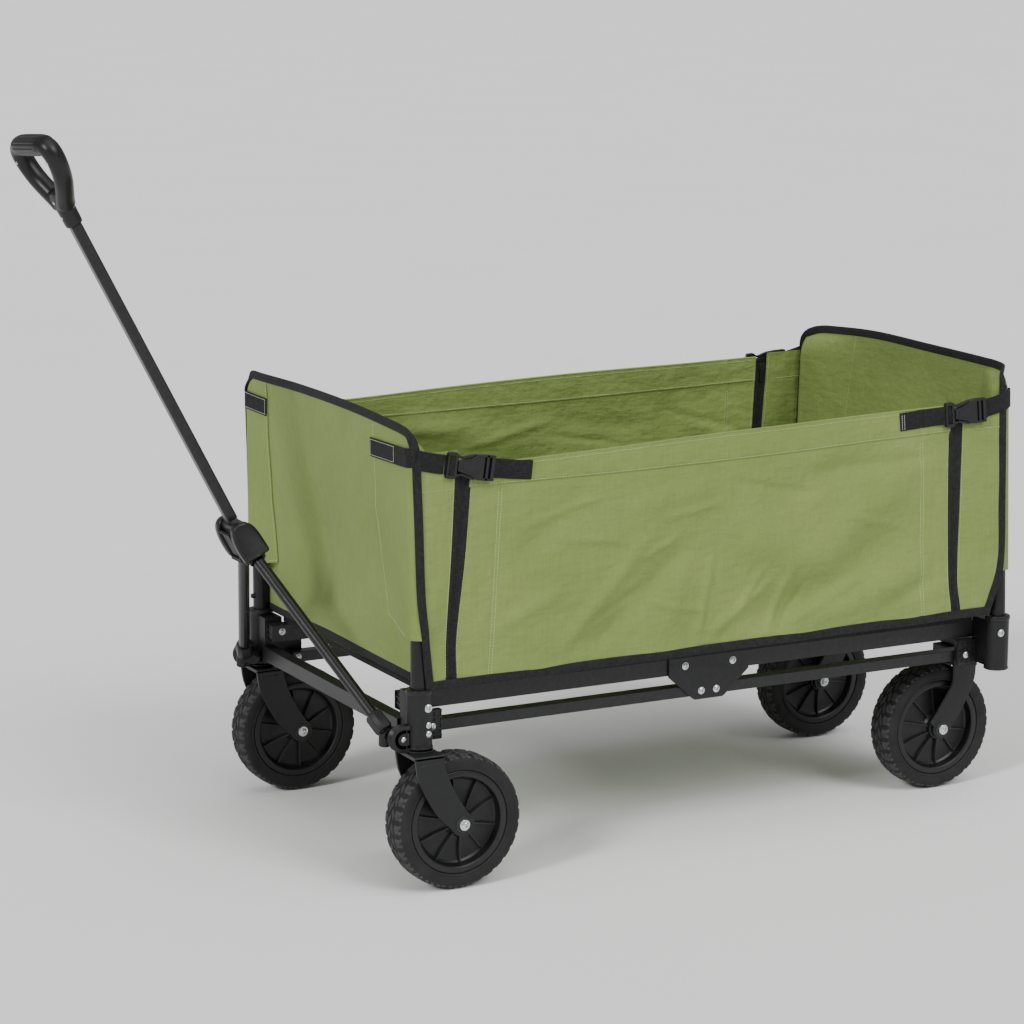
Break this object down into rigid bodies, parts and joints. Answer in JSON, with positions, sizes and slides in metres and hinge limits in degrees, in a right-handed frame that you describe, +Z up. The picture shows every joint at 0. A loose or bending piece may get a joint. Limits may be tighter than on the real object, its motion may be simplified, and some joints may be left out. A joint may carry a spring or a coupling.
{
  "type": "folding camp wagon",
  "caption": "Collapsible camp wagon: steel end frames on hinged side rails, sage cloth tub with drop sides, swivel front casters, fixed rear wheels, yoke pull handle.",
  "frame": {"origin": "on the ground under the middle of the overall box", "axes": "+Z up, -X towards the pull handle (front), -Y is the wagon's left side, +X the rear"},
  "size_m": [1.3883, 0.5836, 0.9789],
  "materials": {
    "black_steel": "satin black powder coat",
    "black_plastic": "fine grained moulded plastic",
    "tyre": "matt black, block tread",
    "zinc": "zinc plated",
    "cloth": "sage green woven polyester"
  },
  "bodies": {
    "rear_frame": {"rear_crossbar": "black_steel", "rear_panel": "cloth", "rear_post_left": "black_steel", "rear_socket_left": "black_plastic", "rear_fork_left": "black_steel", "rear_axle_left": "zinc", "rear_corner_left": "cloth", "rear_post_right": "black_steel", "rear_socket_right": "black_plastic", "rear_fork_right": "black_steel", "rear_axle_right": "zinc", "rear_corner_right": "cloth", "floor_edge_left": "cloth", "floor_edge_right": "cloth"},
    "rear_wheel_left": {"rear_left_tyre": "tyre", "rear_left_rim": "black_plastic"},
    "rear_wheel_right": {"rear_right_tyre": "tyre", "rear_right_rim": "black_plastic"},
    "rear_rails": {"rear_upper_rail_left": "black_steel", "rear_upper_rail_right": "black_steel", "rear_floor": "cloth"},
    "rear_lower_rails": {"rear_lower_rail_left": "black_steel", "rear_lower_rail_right": "black_steel"},
    "centre": {"centre_plate_left": "black_steel", "centre_plate_right": "black_steel", "centre_cross_tube": "black_steel"},
    "front_rails": {"front_upper_rail_left": "black_steel", "front_upper_rail_right": "black_steel", "front_floor": "cloth"},
    "front_lower_rails": {"front_lower_rail_left": "black_steel", "front_lower_rail_right": "black_steel"},
    "front_frame": {"front_crossbar": "black_steel", "front_panel": "cloth", "front_post_left": "black_steel", "front_socket_left": "black_plastic", "front_corner_left": "cloth", "front_post_right": "black_steel", "front_socket_right": "black_plastic", "front_corner_right": "cloth", "yoke_pin_left": "zinc", "yoke_pin_right": "zinc"},
    "caster_left": {"swivel_left": "black_steel", "front_fork_left": "black_steel", "front_axle_left": "zinc"},
    "caster_right": {"swivel_right": "black_steel", "front_fork_right": "black_steel", "front_axle_right": "zinc"},
    "front_wheel_left": {"front_left_tyre": "tyre", "front_left_rim": "black_plastic"},
    "front_wheel_right": {"front_right_tyre": "tyre", "front_right_rim": "black_plastic"},
    "handle": {"yoke_tube_left": "black_steel", "yoke_tube_right": "black_steel", "yoke_hub": "black_plastic", "handle_tube": "black_steel", "handle_grip": "black_plastic"},
    "side_flap_left": {"side_panel_left": "cloth"},
    "side_flap_right": {"side_panel_right": "cloth"}
  },
  "joints": [
    {"name": "fold", "type": "hinge", "parent": "rear_frame", "child": "rear_rails", "pos_m": [0.6375, 0, 0.243], "axis": [0, 1, 0], "range_deg": [0, 75], "deforming": ["side_panel_left", "side_panel_right", "floor_edge_left", "floor_edge_right", "front_panel", "rear_panel"]},
    {"name": "centre_fold", "type": "hinge", "parent": "rear_rails", "child": "centre", "pos_m": [0.228, 0, 0.243], "axis": [0, 1, 0], "range_deg": [-75, 0]},
    {"name": "front_rail_fold", "type": "hinge", "parent": "centre", "child": "front_rails", "pos_m": [0.153, 0, 0.243], "axis": [0, 1, 0], "range_deg": [-75, 0]},
    {"name": "front_frame_fold", "type": "hinge", "parent": "front_rails", "child": "front_frame", "pos_m": [-0.2565, 0, 0.243], "axis": [0, 1, 0], "range_deg": [0, 75]},
    {"name": "rear_lower_fold", "type": "hinge", "parent": "rear_frame", "child": "rear_lower_rails", "pos_m": [0.6118, 0, 0.206], "axis": [0, 1, 0], "range_deg": [0, 75]},
    {"name": "front_lower_fold", "type": "hinge", "parent": "centre", "child": "front_lower_rails", "pos_m": [0.1787, 0, 0.206], "axis": [0, 1, 0], "range_deg": [-75, 0]},
    {"name": "caster_swivel_left", "type": "hinge", "parent": "front_frame", "child": "caster_left", "pos_m": [-0.263, -0.256, 0.19], "axis": [0, 0, 1], "continuous": true},
    {"name": "front_wheel_spin_left", "type": "hinge", "parent": "caster_left", "child": "front_wheel_left", "pos_m": [-0.2154, -0.256, 0.09], "axis": [0, 1, 0], "continuous": true},
    {"name": "rear_wheel_spin_left", "type": "hinge", "parent": "rear_frame", "child": "rear_wheel_left", "pos_m": [0.6042, -0.155, 0.09], "axis": [0, 1, 0], "continuous": true},
    {"name": "caster_swivel_right", "type": "hinge", "parent": "front_frame", "child": "caster_right", "pos_m": [-0.263, 0.256, 0.19], "axis": [0, 0, 1], "continuous": true},
    {"name": "front_wheel_spin_right", "type": "hinge", "parent": "caster_right", "child": "front_wheel_right", "pos_m": [-0.2154, 0.256, 0.09], "axis": [0, 1, 0], "continuous": true},
    {"name": "rear_wheel_spin_right", "type": "hinge", "parent": "rear_frame", "child": "rear_wheel_right", "pos_m": [0.6042, 0.155, 0.09], "axis": [0, 1, 0], "continuous": true},
    {"name": "handle_tilt", "type": "hinge", "parent": "front_frame", "child": "handle", "pos_m": [-0.2875, 0, 0.2053], "axis": [0, -1, 0], "range_deg": [-22, 72]},
    {"name": "side_drop_left", "type": "hinge", "parent": "rear_frame", "child": "side_flap_left", "pos_m": [0.1905, -0.2665, 0.27], "axis": [1, 0, 0], "range_deg": [0, 150]},
    {"name": "side_drop_right", "type": "hinge", "parent": "rear_frame", "child": "side_flap_right", "pos_m": [0.1905, 0.2665, 0.27], "axis": [-1, 0, 0], "range_deg": [0, 150]}
  ],
  "couplings": [
    {"joint": "centre_fold", "follows": "fold", "ratio": -1},
    {"joint": "front_rail_fold", "follows": "fold", "ratio": -1},
    {"joint": "front_frame_fold", "follows": "fold", "ratio": 1},
    {"joint": "rear_lower_fold", "follows": "fold", "ratio": 1},
    {"joint": "front_lower_fold", "follows": "fold", "ratio": -1}
  ]
}
